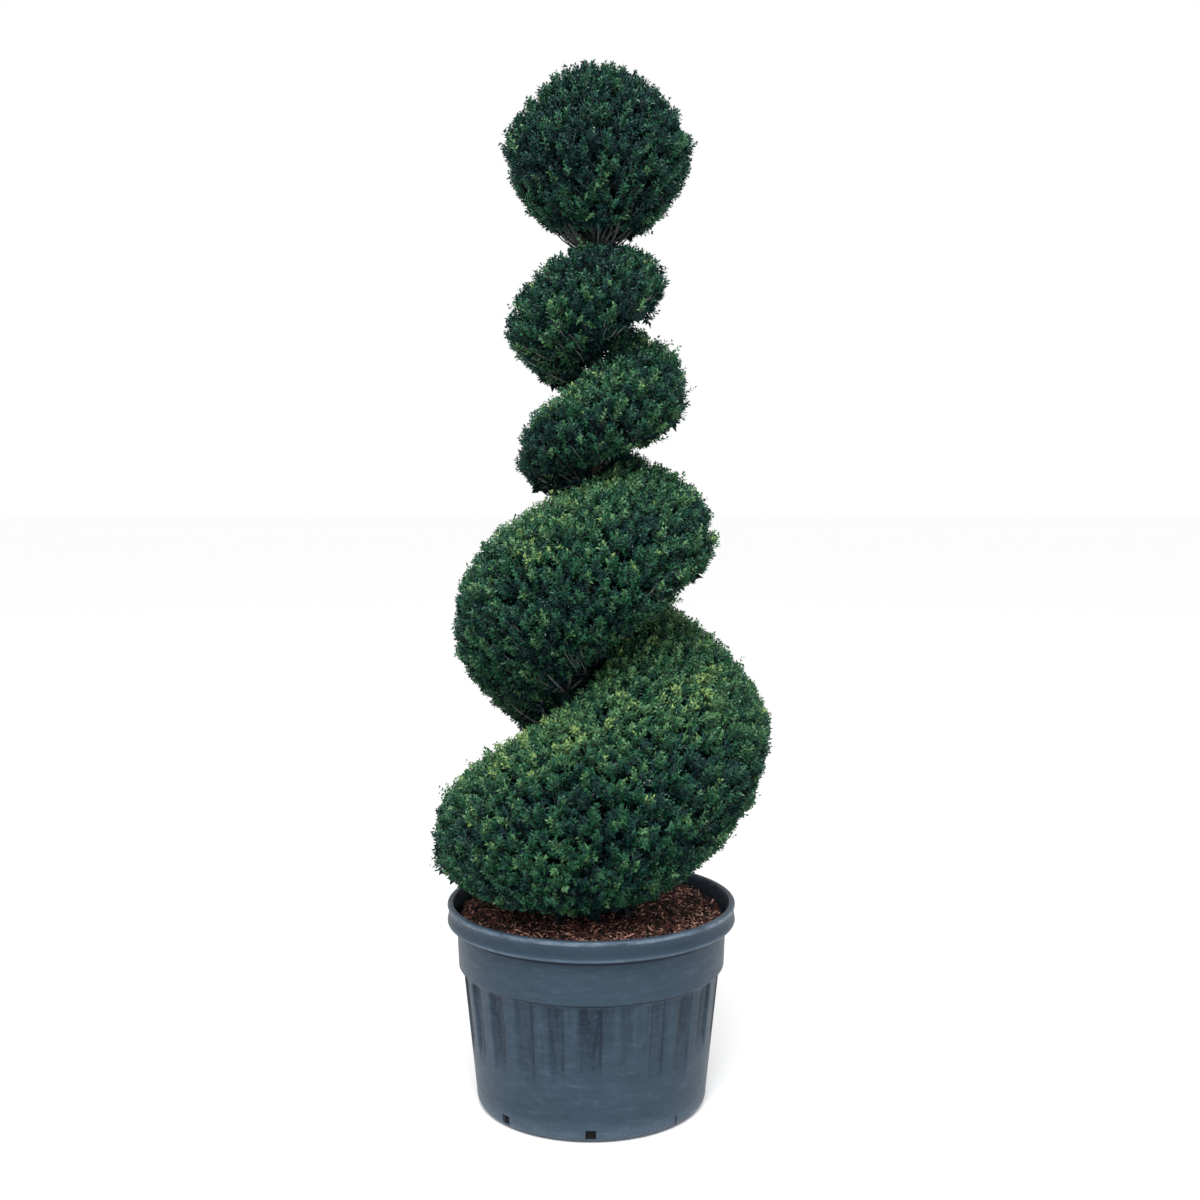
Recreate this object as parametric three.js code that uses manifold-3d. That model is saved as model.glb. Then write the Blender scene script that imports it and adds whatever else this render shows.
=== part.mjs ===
// Spiral topiary: a small-leaved evergreen shrub in a plastic pot, clipped into a rising spiral under a ball.
// Millimetres, +Z up. The origin is the centre of the pot's flat underside, and the plant's front faces -Y.
import * as THREE from "three";
import { mergeVertices } from "three/addons/utils/BufferGeometryUtils.js";
import Module from "manifold-3d";

const wasm = await Module();
wasm.setup();

// ---- Driving dimensions ----

const pot = {
  height: 366,
  baseRadius: 207,
  baseEdge: 12, // rounding between underside and wall
  bodyTop: 238, // where the tapered body meets the band
  bodyTopRadius: 230,
  bandBottom: 257,
  bandBottomRadius: 238,
  bandTop: 324,
  bandTopRadius: 241,
  rimBottom: 330,
  rimRadius: 259,
  rimEdge: 7,
  mouthRadius: 247.5,
  mouthEdge: 3,
  mouthDepth: 34, // the mouth's inner lip narrows to the band's wall over this depth
  wall: 5,
  floor: 6,
};
const flutes = { count: 24, share: 0.57, depth: 2.6, top: 234, bottom: 118, fade: 50 };
// One drain hole, to the right of the front, is moulded nearly shut.
const drain = { count: 8, width: 17.5, height: 16.5, bottom: 7.5, shut: 1, shutWidth: 3.5 };
const soil = { edgeTop: 343, middleTop: 347, gap: 0.5, lump: 2.5, rings: [0.85, 0.6, 0.3] };
const trunk = {
  foot: 348, // the flat cut at soil level
  tip: 1760,
  footRadius: 22,
  tipRadius: 4,
  flare: 13, // extra radius of the root flare at the foot
  flareHeight: 38,
  flareLobes: 5,
  lean: 14, // sideways travel of the tip
  sway: 3,
};

// The clipped spiral climbs from left to right across the front. A turn counts from the left side, so 0.25
// is the front, 0.5 the right and 0.75 the back. Reach is the radius of the roll, middle its height there,
// and crease the height of the cut above it, which is also the foot of the roll one turn on. Over and under
// are the fullness of its upper and lower side: 2 is an ellipse, less is slacker and more is squarer.
const stations = [
  { turn: -1.0, reach: 60, middle: 200, crease: 200, over: 2, under: 2 },
  { turn: -0.5, reach: 120, middle: 352, crease: 352, over: 2, under: 2.2 },
  { turn: 0.0, reach: 285, middle: 482, crease: 666, over: 2.2, under: 2.5 },
  { turn: 0.5, reach: 320, middle: 678, crease: 905, over: 1.75, under: 1.75 },
  { turn: 1.0, reach: 259, middle: 866, crease: 1091, over: 1.95, under: 2.2 },
  { turn: 1.5, reach: 217, middle: 1030, crease: 1166, over: 2.05, under: 2 },
  { turn: 2.0, reach: 144, middle: 1162, crease: 1275, over: 1.9, under: 2 },
  { turn: 2.5, reach: 170, middle: 1284, crease: 1387, over: 2.1, under: 2.4 },
  { turn: 3.0, reach: 161, middle: 1366, crease: 1517, over: 2.1, under: 1.7 },
  { turn: 3.5, reach: 129, middle: 1466, crease: 1536, over: 2.1, under: 2.2 },
  { turn: 4.0, reach: 66, middle: 1526, crease: 1542, over: 2, under: 2 },
  { turn: 4.5, reach: 60, middle: 1538, crease: 1546, over: 2, under: 2 },
];
const roll = {
  skirt: 353, // lowest foliage, just over the soil
  parting: 3, // half the gap kept in a crease
  trunkGap: 1,
  stepsPerTurn: 24,
  sidePoints: 7, // in each side of a section
  lump: 4,
};
const halfGap = 0.25; // half the gap between the front and back halves of a turn
const rolls = [
  { name: "foliage_tail", from: -11 / 24, to: 0 },
  { name: "foliage_turn_1_front", from: 0, to: 0.5 },
  { name: "foliage_turn_1_back", from: 0.5, to: 1 },
  { name: "foliage_turn_2_front", from: 1, to: 1.5 },
  { name: "foliage_turn_2_back", from: 1.5, to: 2 },
  { name: "foliage_turn_3_front", from: 2, to: 2.5 },
  { name: "foliage_turn_3_back", from: 2.5, to: 3 },
  { name: "foliage_turn_4_front", from: 3, to: 3.5 },
  { name: "foliage_turn_4_back", from: 3.5, to: 3.5 + 5 / 12 },
];
const ball = {
  radius: 170,
  middle: 1678,
  top: 1840,
  depth: 160, // how far the sides would run below the middle to close at a point
  hem: 1534, // where the sides turn in to the hollow underside
  crown: 1612, // height of the hollow at the trunk
  peak: 1.25, // 1 is a globe, more is drawn up to a point
  taperAbove: 1.15, // as peak, for the sides above and below the middle
  taperBelow: 1,
  sides: 24,
  rowsAbove: 6,
  rowsBelow: 3,
};
const boughs = {
  count: 9,
  start: 1546,
  rise: 13, // every third stem leaves the trunk this much higher than the last
  startRadius: 4.2,
  endRadius: 2.8,
  reach: [66, 50, 74],
  sides: 6,
  steps: 5,
};
const cutGap = 0.4; // kept where a stem meets the trunk or the ball

// ---- Materials ----

const plastic = new THREE.MeshStandardMaterial({ color: 0x3f4d5a, roughness: 0.5, metalness: 0 });
const bark = new THREE.MeshStandardMaterial({ color: 0x5a4a3c, roughness: 0.9, metalness: 0 });
const mulch = new THREE.MeshStandardMaterial({ color: 0x43291f, roughness: 0.95, metalness: 0 });
const leaf = new THREE.MeshStandardMaterial({ color: 0x1f3d26, roughness: 0.6, metalness: 0 });

// ---- Small tools ----

const turnToAngle = (turn) => Math.PI + 2 * Math.PI * turn;

// A smooth curve through the stations' values of one key (Catmull-Rom).
function alongSpiral(key, turn) {
  const place = (turn - stations[0].turn) / (stations[1].turn - stations[0].turn);
  const before = THREE.MathUtils.clamp(Math.floor(place), 1, stations.length - 3);
  const [a, b, c, d] = stations.slice(before - 1, before + 3).map((station) => station[key]);
  const t = place - before;
  return b + 0.5 * t * (c - a + t * (2 * a - 5 * b + 4 * c - d + t * (3 * (b - c) + d - a)));
}

// The gentle unevenness that shears leave, in millimetres for a height of 1.
function lumps(point) {
  const { x, y, z } = point;
  return Math.sin(x / 29 + z / 61) * Math.cos(y / 33 - 1) + 0.6 * Math.sin(z / 19 + x / 47 + 2);
}

// Skins a row of closed rings and closes each end with a fan about the ring's middle.
function loft(rings) {
  const count = rings[0].length;
  const middle = (ring) => ring.reduce((sum, p) => sum.add(p), new THREE.Vector3()).divideScalar(count);
  const points = [...rings.flat(), middle(rings[0]), middle(rings.at(-1))];
  const firstMiddle = rings.length * count;
  const lastRing = firstMiddle - count;
  const index = [];
  for (let i = 0; i < count; i++) {
    const next = (i + 1) % count;
    index.push(firstMiddle, next, i, firstMiddle + 1, lastRing + i, lastRing + next);
    for (let ring = 0; ring < lastRing; ring += count) {
      index.push(ring + i, ring + next, ring + count + next);
      index.push(ring + i, ring + count + next, ring + count + i);
    }
  }
  const geometry = new THREE.BufferGeometry().setFromPoints(points);
  geometry.setIndex(index);
  geometry.computeVertexNormals();
  return geometry;
}

// A level ring of points about a centre. A radius may be a number or a function of the angle.
function levelRing(sides, radius, z, centreX = 0) {
  return Array.from({ length: sides }, (_, i) => {
    const angle = (2 * Math.PI * i) / sides;
    const r = typeof radius === "function" ? radius(angle) : radius;
    return new THREE.Vector3(centreX + r * Math.cos(angle), r * Math.sin(angle), z);
  });
}

function toSolid(geometry) {
  const bare = geometry.index ? geometry.toNonIndexed() : geometry.clone();
  bare.deleteAttribute("normal");
  bare.deleteAttribute("uv");
  const merged = mergeVertices(bare, 1e-3);
  return new wasm.Manifold(
    new wasm.Mesh({
      numProp: 3,
      vertProperties: merged.attributes.position.array,
      triVerts: new Uint32Array(merged.index.array),
    }),
  );
}

function toGeometry(solid) {
  const mesh = solid.getMesh();
  const geometry = new THREE.BufferGeometry();
  geometry.setAttribute("position", new THREE.BufferAttribute(mesh.vertProperties, 3));
  geometry.setIndex(new THREE.BufferAttribute(mesh.triVerts, 1));
  geometry.computeVertexNormals();
  return geometry;
}

function named(name, geometry, material) {
  const mesh = new THREE.Mesh(geometry, material);
  mesh.name = name;
  return mesh;
}

// ---- Pot ----

// Radius of the tapered body at a height, without its flutes.
const bodyRadius = (z) => THREE.MathUtils.mapLinear(z, 0, pot.bodyTop, pot.baseRadius, pot.bodyTopRadius);

function potProfile() {
  const { baseEdge, mouthEdge, mouthRadius, rimEdge, rimRadius, wall } = pot;
  const rounding = 0.3; // of an edge's size, at the middle of its corner
  const outside = [
    [0, 0],
    [pot.baseRadius - baseEdge, 0],
    [bodyRadius(0) - rounding * baseEdge, rounding * baseEdge],
    [bodyRadius(baseEdge), baseEdge],
    [bodyRadius(flutes.bottom), flutes.bottom],
    [bodyRadius(flutes.bottom + flutes.fade), flutes.bottom + flutes.fade],
    [bodyRadius(flutes.top), flutes.top],
    [pot.bodyTopRadius, pot.bodyTop],
    [pot.bandBottomRadius, pot.bandBottom],
    [pot.bandTopRadius, pot.bandTop],
    [rimRadius, pot.rimBottom],
    [rimRadius, pot.height - rimEdge],
    [rimRadius - rounding * rimEdge, pot.height - rounding * rimEdge],
    [rimRadius - rimEdge, pot.height],
  ];
  const inside = [
    [mouthRadius + mouthEdge, pot.height],
    [mouthRadius, pot.height - mouthEdge],
    [pot.bandTopRadius - wall, pot.height - pot.mouthDepth],
    [pot.bandBottomRadius - wall, pot.bandBottom],
    [pot.bodyTopRadius - wall, pot.bodyTop],
    [pot.baseRadius - wall, pot.floor],
    [0, pot.floor],
  ];
  return [...outside, ...inside].map(([radius, z]) => new THREE.Vector2(radius, z));
}

// Sinks the flutes into the outside of the body, between their top and the height where they fade out.
function sinkFlutes(geometry) {
  const position = geometry.attributes.position;
  const point = new THREE.Vector3();
  for (let i = 0; i < position.count; i++) {
    point.fromBufferAttribute(position, i);
    const radius = Math.hypot(point.x, point.y);
    const onOutside = radius > bodyRadius(point.z) - 1;
    const inHeight = point.z > flutes.bottom + 1 && point.z < flutes.top + 1;
    const across = (Math.atan2(point.y, point.x) / (2 * Math.PI)) * flutes.count + 0.5;
    const fromRib = Math.abs(across - Math.round(across)); // 0 on a rib's middle, 0.5 in a flute's
    if (onOutside && inHeight && fromRib > (1 - flutes.share) / 2 + 0.01) {
      const sunk = (radius - flutes.depth) / radius;
      position.setXY(i, point.x * sunk, point.y * sunk);
    }
  }
  return geometry;
}

function drainHole(number) {
  const length = 4 * pot.wall;
  const width = number === drain.shut ? drain.shutWidth : drain.width;
  const box = new THREE.BoxGeometry(length, width, drain.height);
  box.translate(pot.baseRadius - pot.wall, 0, drain.bottom + drain.height / 2);
  return box.rotateZ((2 * Math.PI * number) / drain.count - Math.PI / 2);
}

function makePot() {
  const columns = 4 * flutes.count;
  const shell = new THREE.LatheGeometry(potProfile(), columns).rotateX(Math.PI / 2);
  let solid = toSolid(sinkFlutes(shell));
  for (let i = 0; i < drain.count; i++) solid = solid.subtract(toSolid(drainHole(i)));
  return named("pot", toGeometry(solid), plastic);
}

// ---- Soil ----

function makeSoil() {
  const sides = 2 * flutes.count;
  const insideBand = THREE.MathUtils.mapLinear(
    soil.edgeTop,
    pot.bandBottom,
    pot.height - pot.mouthDepth,
    pot.bandBottomRadius,
    pot.bandTopRadius,
  );
  const fill = (radius, z) => levelRing(sides, radius - pot.wall - soil.gap, z);
  const edge = Math.min(insideBand, pot.bandTopRadius);
  const top = soil.rings.map((share) => {
    const ring = levelRing(sides, edge * share, THREE.MathUtils.lerp(soil.middleTop, soil.edgeTop, share));
    ring.forEach((point) => (point.z -= Math.abs(soil.lump * lumps(point)) * share));
    return ring;
  });
  return named(
    "soil",
    loft([
      fill(pot.baseRadius, pot.floor + soil.gap),
      fill(pot.bodyTopRadius, pot.bodyTop),
      fill(pot.bandBottomRadius, pot.bandBottom + soil.gap),
      fill(edge, soil.edgeTop - 2 * soil.lump),
      ...top,
    ]),
    mulch,
  );
}

// ---- Trunk and stems ----

const trunkShare = (z) => (z - trunk.foot) / (trunk.tip - trunk.foot);
const trunkCentre = (z) => trunk.lean * trunkShare(z) + trunk.sway * Math.sin(2 * Math.PI * trunkShare(z));
const flareAt = (z) => trunk.flare * Math.exp(-(z - trunk.foot) / trunk.flareHeight);
const taperAt = (z) => THREE.MathUtils.lerp(trunk.footRadius, trunk.tipRadius, trunkShare(z));
const trunkRadius = (z) => taperAt(z) + flareAt(z);

function trunkGeometry(extra = 0) {
  const sides = 12;
  const rings = 14; // closer together near the foot
  const heights = Array.from({ length: rings }, (_, i) =>
    THREE.MathUtils.lerp(trunk.foot, trunk.tip, (i / (rings - 1)) ** 1.7),
  );
  return loft(
    heights.map((z) => {
      const lobes = (angle) => 0.45 * flareAt(z) * (Math.cos(trunk.flareLobes * angle) - 1);
      return levelRing(sides, (angle) => trunkRadius(z) + lobes(angle) + extra, z, trunkCentre(z));
    }),
  );
}

// A stem that leaves the trunk under the ball and rises into its underside.
function stemGeometry(number) {
  const angle = (2 * Math.PI * (number + 0.35)) / boughs.count;
  const outward = new THREE.Vector3(Math.cos(angle), Math.sin(angle), 0);
  const reach = boughs.reach[number % boughs.reach.length];
  const foot = new THREE.Vector3(trunkCentre(boughs.start), 0, boughs.start + (number % 3) * boughs.rise);
  const curve = new THREE.QuadraticBezierCurve3(
    foot,
    foot.clone().addScaledVector(outward, 0.55 * reach).setZ(foot.z + 0.42 * (ball.crown - foot.z)),
    foot.clone().addScaledVector(outward, reach).setZ(ball.crown + 6),
  );
  const frames = curve.computeFrenetFrames(boughs.steps);
  const rings = frames.normals.map((normal, i) => {
    const share = i / boughs.steps;
    const radius = THREE.MathUtils.lerp(boughs.startRadius, boughs.endRadius, share);
    return Array.from({ length: boughs.sides }, (_, side) => {
      const around = (2 * Math.PI * side) / boughs.sides;
      return curve
        .getPointAt(share)
        .addScaledVector(normal, radius * Math.cos(around))
        .addScaledVector(frames.binormals[i], radius * Math.sin(around));
    });
  });
  return loft(rings);
}

// ---- Foliage ----

// The closed outline of the roll at a turn: a rounded wedge that stands on the trunk.
function rollSection(turn) {
  const angle = turnToAngle(turn);
  const reach = alongSpiral("reach", turn);
  const middle = alongSpiral("middle", turn);
  const above = alongSpiral("crease", turn) - roll.parting - middle;
  const foot = turn < 0.5 ? roll.skirt : Math.max(roll.skirt, alongSpiral("crease", turn - 1) + roll.parting);
  const side = (fullness, height) => {
    const power = 2 / fullness;
    const innerShare = (trunkRadius(middle) + roll.trunkGap) / reach;
    const widest = Math.acos(Math.min(0.95, innerShare ** (1 / power)));
    return Array.from({ length: roll.sidePoints }, (_, i) => {
      const swing = (widest * (i + 1)) / roll.sidePoints;
      const z = middle + height * Math.sin(swing) ** power;
      const onTrunk = i === roll.sidePoints - 1;
      const radius = onTrunk ? trunkRadius(z) + roll.trunkGap : reach * Math.cos(swing) ** power;
      return { radius, z, shear: onTrunk ? 0 : Math.cos(swing) };
    });
  };
  const outline = [
    ...side(alongSpiral("over", turn), above).reverse(),
    { radius: reach, z: middle, shear: 1 },
    ...side(alongSpiral("under", turn), foot - middle),
  ];
  return outline.map(({ radius, z, shear }) => {
    const point = new THREE.Vector3(radius * Math.cos(angle), radius * Math.sin(angle), z);
    const shorn = 1 + (roll.lump * lumps(point) * shear) / radius;
    return point.set(point.x * shorn + trunkCentre(z), point.y * shorn, z);
  });
}

function makeRoll({ name, from, to }) {
  const steps = Math.round((to - from) * roll.stepsPerTurn);
  const turnAt = (i) => THREE.MathUtils.lerp(from, to, i / steps);
  const sections = Array.from({ length: steps + 1 }, (_, i) => rollSection(turnAt(i)));
  const mesh = named(name, loft(sections), leaf);
  mesh.position.y = name.endsWith("front") ? -halfGap : halfGap;
  return mesh;
}

function ballGeometry(extra = 0) {
  const centre = trunkCentre(ball.middle);
  const row = (share, z, grown = extra) => {
    const ring = levelRing(ball.sides, ball.radius * share + grown, z, centre);
    return ring.map((point) => {
      const shorn = 1 + (roll.lump * lumps(point) * share) / ball.radius;
      return point.set(centre + (point.x - centre) * shorn, point.y * shorn, point.z);
    });
  };
  const side = (swing) => {
    const height = swing > 0 ? ball.top + extra - ball.middle : ball.depth;
    const rise = Math.sign(swing) * Math.abs(Math.sin(swing)) ** ball.peak;
    const taper = swing > 0 ? ball.taperAbove : ball.taperBelow;
    return row(Math.cos(swing) ** taper, ball.middle + height * rise);
  };
  const hemSwing = Math.asin(((ball.middle - ball.hem) / ball.depth) ** (1 / ball.peak));
  const below = Array.from({ length: ball.rowsBelow }, (_, i) => side(-hemSwing * (1 - i / ball.rowsBelow)));
  const above = Array.from({ length: ball.rowsAbove }, (_, i) => side((1.4 * i) / (ball.rowsAbove - 1)));
  const hemShare = Math.cos(hemSwing) ** ball.taperBelow;
  const underside = [0.25, 0.6].map((share) =>
    row(share * hemShare, THREE.MathUtils.lerp(ball.crown, ball.hem, share ** 2) - extra, -extra),
  );
  return loft([...underside, ...below, ...above]);
}

// ---- The whole plant ----

const topiary = new THREE.Group();
topiary.add(makePot(), makeSoil(), named("trunk", trunkGeometry(), bark));

const trunkRoom = toSolid(trunkGeometry(cutGap));
const ballRoom = toSolid(ballGeometry(cutGap));
for (let i = 0; i < boughs.count; i++) {
  const stem = toSolid(stemGeometry(i)).subtract(trunkRoom).subtract(ballRoom);
  topiary.add(named(`top_stem_${i + 1}`, toGeometry(stem), bark));
}
rolls.forEach((each) => topiary.add(makeRoll(each)));
topiary.add(named("foliage_ball", toGeometry(toSolid(ballGeometry()).subtract(trunkRoom)), leaf));

export default topiary;
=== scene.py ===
import math

import bmesh
import bpy
import numpy as np
from mathutils import Matrix, Vector, noise
from mathutils.bvhtree import BVHTree
from mathutils.kdtree import KDTree


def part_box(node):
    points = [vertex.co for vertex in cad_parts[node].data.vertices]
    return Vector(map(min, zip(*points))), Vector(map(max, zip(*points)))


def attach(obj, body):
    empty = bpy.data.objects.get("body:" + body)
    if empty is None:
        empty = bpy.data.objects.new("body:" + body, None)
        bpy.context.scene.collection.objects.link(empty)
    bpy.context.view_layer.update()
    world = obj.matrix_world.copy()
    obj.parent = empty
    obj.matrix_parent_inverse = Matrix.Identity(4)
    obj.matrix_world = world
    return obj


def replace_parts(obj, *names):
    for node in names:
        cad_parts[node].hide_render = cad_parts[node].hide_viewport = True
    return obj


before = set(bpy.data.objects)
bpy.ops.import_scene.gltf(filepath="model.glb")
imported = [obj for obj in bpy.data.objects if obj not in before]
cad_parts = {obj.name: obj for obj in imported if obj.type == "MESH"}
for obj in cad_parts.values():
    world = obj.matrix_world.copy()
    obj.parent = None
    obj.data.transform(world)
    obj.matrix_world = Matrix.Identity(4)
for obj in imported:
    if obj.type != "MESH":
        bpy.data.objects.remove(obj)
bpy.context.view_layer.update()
tau = 2 * math.pi
upward = np.array([0, 0, 1.0])


class Wire:
    # wraps an output socket, so that an expression adds its Math nodes
    def __init__(self, finish, socket):
        self.finish = finish
        self.socket = socket

    def math(self, operation, *values):
        return self.finish.node("ShaderNodeMath", {"operation": operation}, values)

    def __add__(self, other):
        return self.math("ADD", self, other)

    def __radd__(self, other):
        return self.math("ADD", other, self)

    def __sub__(self, other):
        return self.math("SUBTRACT", self, other)

    def __rsub__(self, other):
        return self.math("SUBTRACT", other, self)

    def __mul__(self, other):
        return self.math("MULTIPLY", self, other)

    def __rmul__(self, other):
        return self.math("MULTIPLY", other, self)

    def __abs__(self):
        return self.math("ABSOLUTE", self)

    def clamp(self):
        return self.math("MINIMUM", self.math("MAXIMUM", self, 0.0), 1.0)


class Finish:
    # a material with one Principled shader, and one way to add any other node
    def __init__(self, name, color, roughness, **constants):
        self.material = bpy.data.materials.new(name)
        self.material.use_nodes = True
        self.tree = self.material.node_tree
        self.shader = self.tree.nodes["Principled BSDF"]
        self.shader.inputs["Base Color"].default_value = (*color, 1)
        self.shader.inputs["Roughness"].default_value = roughness
        for socket, value in constants.items():
            self.shader.inputs[socket.replace("_", " ")].default_value = value

    def node(self, kind, settings=None, values=(), output=0):
        added = self.tree.nodes.new(kind)
        for key, value in (settings or {}).items():
            if key == "stops":
                self.setStops(added.color_ramp, value)
            else:
                setattr(added, key, value)
        pairs = values.items() if isinstance(values, dict) else enumerate(values)
        for socket, value in pairs:
            if isinstance(value, Wire):
                self.tree.links.new(value.socket, added.inputs[socket])
            else:
                added.inputs[socket].default_value = value
        return Wire(self, added.outputs[output])

    def setStops(self, ramp, stops):
        while len(ramp.elements) < len(stops):
            ramp.elements.new(0.5)
        for element, (position, color) in zip(ramp.elements, stops):
            element.position = position
            element.color = (*color, 1)

    def place(self, stretch=(1, 1, 1)):
        coordinates = self.node("ShaderNodeTexCoord", output="Object")
        return self.node("ShaderNodeMapping", values={"Vector": coordinates, "Scale": stretch})

    def noise(self, place, scale, detail=3.0, roughness=0.5):
        values = {"Vector": place, "Scale": scale, "Detail": detail, "Roughness": roughness}
        return self.node("ShaderNodeTexNoise", values=values)

    def blend(self, share, first, second):
        values = {"Factor": share, "A": first, "B": second}
        return self.node("ShaderNodeMix", {"data_type": "RGBA"}, values, output="Result")

    def ramp(self, share, stops):
        return self.node("ShaderNodeValToRGB", {"stops": stops}, [share])

    def bump(self, height, strength, distance):
        values = {"Height": height, "Strength": strength, "Distance": distance}
        self.feed("Normal", self.node("ShaderNodeBump", values=values))

    def feed(self, socket, wire):
        self.tree.links.new(wire.socket, self.shader.inputs[socket])


def addObject(name, mesh, finish, smooth):
    if smooth:
        mesh.shade_smooth()
    else:
        mesh.shade_flat()
    mesh.materials.append(finish.material)
    piece = bpy.data.objects.new(name, mesh)
    bpy.context.collection.objects.link(piece)
    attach(piece, "root")
    return piece


def addPiece(name, bm, finish, smooth=True):
    mesh = bpy.data.meshes.new(name)
    bm.to_mesh(mesh)
    bm.free()
    return addObject(name, mesh, finish, smooth)


def addJoined(name, points, faces, finish, smooth=False):
    # one mesh from arrays of points and of faces that all have as many corners
    mesh = bpy.data.meshes.new(name)
    mesh.vertices.add(len(points))
    mesh.vertices.foreach_set("co", points.astype(np.float32).ravel())
    mesh.loops.add(faces.size)
    mesh.loops.foreach_set("vertex_index", faces.astype(np.int32).ravel())
    mesh.polygons.add(len(faces))
    mesh.polygons.foreach_set("loop_start", np.arange(0, faces.size, faces.shape[1], dtype=np.int32))
    mesh.update(calc_edges=True)
    return addObject(name, mesh, finish, smooth)


# Reading the frame

foliageNames = sorted(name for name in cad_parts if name.startswith("foliage_"))
stemNames = sorted(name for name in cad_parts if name.startswith("top_stem_"))


def nodeArrays(name):
    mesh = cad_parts[name].data
    points = np.empty(len(mesh.vertices) * 3)
    mesh.vertices.foreach_get("co", points)
    mesh.calc_loop_triangles()
    triangles = np.empty(len(mesh.loop_triangles) * 3, dtype=np.int32)
    mesh.loop_triangles.foreach_get("vertices", triangles)
    return points.reshape(-1, 3), triangles.reshape(-1, 3)


def unit(vectors):
    return vectors / np.maximum(np.linalg.norm(vectors, axis=-1, keepdims=True), 1e-9)


def readTrunk():
    # middle and radius of the trunk's rings of points, from the foot up
    points, _ = nodeArrays("trunk")
    points = np.unique(np.round(points, 5), axis=0)
    rings = []
    for height in np.unique(points[:, 2]):
        ring = points[points[:, 2] == height]
        if len(ring) > 3:
            middle = ring.mean(axis=0)
            rings.append((*middle, np.hypot(*(ring - middle)[:, :2].T).mean()))
    return np.array(rings)


trunkRings = readTrunk()
soilTop = trunkRings[0, 2]
trunkTop = trunkRings[-1, 2]
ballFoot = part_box("foliage_ball")[0][2]


def axisAt(z):
    z = np.clip(z, soilTop, trunkTop)
    x = np.interp(z, trunkRings[:, 2], trunkRings[:, 0])
    y = np.interp(z, trunkRings[:, 2], trunkRings[:, 1])
    return np.stack([x, y, z], axis=-1)


def trunkRadiusAt(z):
    return np.interp(z, trunkRings[:, 2], trunkRings[:, 3])


def reachOf(points):
    # how far points stand from the trunk's middle
    away = points - axisAt(points[..., 2])
    return np.hypot(away[..., 0], away[..., 1])


def waves(points, size, seed, count=7):
    # smooth unevenness of about -1 to 1, with lumps of a given size
    pick = np.random.default_rng(seed)
    total = np.zeros(len(points))
    for _ in range(count):
        direction = unit(pick.normal(size=3)) * tau / (size * pick.uniform(1.4, 2.8))
        total += np.sin(points @ direction + pick.uniform(0, tau))
    return total / math.sqrt(count)


def spreadOut(points, gap):
    # the places of points that keep at least a gap from those taken before them
    cells = {}
    taken = []
    keys = np.floor(points / gap).astype(int)
    near = [(x, y, z) for x in (-1, 0, 1) for y in (-1, 0, 1) for z in (-1, 0, 1)]
    for i, (point, key) in enumerate(zip(points.tolist(), keys.tolist())):
        close = False
        for dx, dy, dz in near:
            for other in cells.get((key[0] + dx, key[1] + dy, key[2] + dz), ()):
                if math.dist(point, other) < gap:
                    close = True
                    break
            if close:
                break
        if not close:
            cells.setdefault(tuple(key), []).append(point)
            taken.append(i)
    return np.array(taken)


def nearestOf(points, targets):
    tree = KDTree(len(targets))
    for i, target in enumerate(targets):
        tree.insert(target, i)
    tree.balance()
    return np.array([tree.find(point)[1] for point in points])


# Pot

potSizes = {
    "columns": 480,
    "floor": 0.006,
    "wall": 0.0048,
    "footRadius": 0.1915,
    "footRound": 0.0165,
    "bodyFoot": (0.2080, 0.0200),  # radius and height
    "bodyTop": (0.2308, 0.2450),
    "bodyRows": 40,
    "bandFoot": (0.2392, 0.2525),
    "bandTop": (0.2418, 0.3250),
    "bandRound": 0.004,
    "rimFoot": 0.3293,
    "rimReach": 0.2588,
    "rimRounds": (0.0038, 0.0050, 0.0030),  # at its foot, its outer edge and the mouth
    "rimHollow": 0.0022,  # how far the rim's face is drawn in
    "rimTop": 0.3658,
    "mouth": 0.2478,
    "flutes": 24,
    "fluteSeed": 58822,
    "fluteDepth": 0.0042,
    "fluteShare": (0.40, 0.66),  # of the space between two ribs' middles
    "fluteEdge": 0.11,
    "fluteShadeLine": 0.12,  # width of the painted shade line along a flute's edge
    "fluteTop": 0.2445,
    "fluteLength": (0.070, 0.125),
    "fluteFade": 0.045,
    "drains": 8,
    "drainSize": (0.030, 0.0175, 0.0165),
    "drainFoot": 0.0075,
    "shutDrain": 1,  # one hole is moulded nearly shut
    "shutWidth": 0.0035,
    "nubRadius": 0.0026,  # of the moulding mark on the rim
    "nubShape": (1.4, 0.8, 0.8),
    "nubSunk": 0.0008,
    "nubBelow": 0.009,
}


def arc(centre, radius, first, last, steps):
    # points on a round stretch of the outline, in degrees
    angles = [math.radians(first + (last - first) * i / steps) for i in range(steps + 1)]
    return [(centre[0] + radius * math.cos(angle), centre[1] + radius * math.sin(angle)) for angle in angles]


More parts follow.
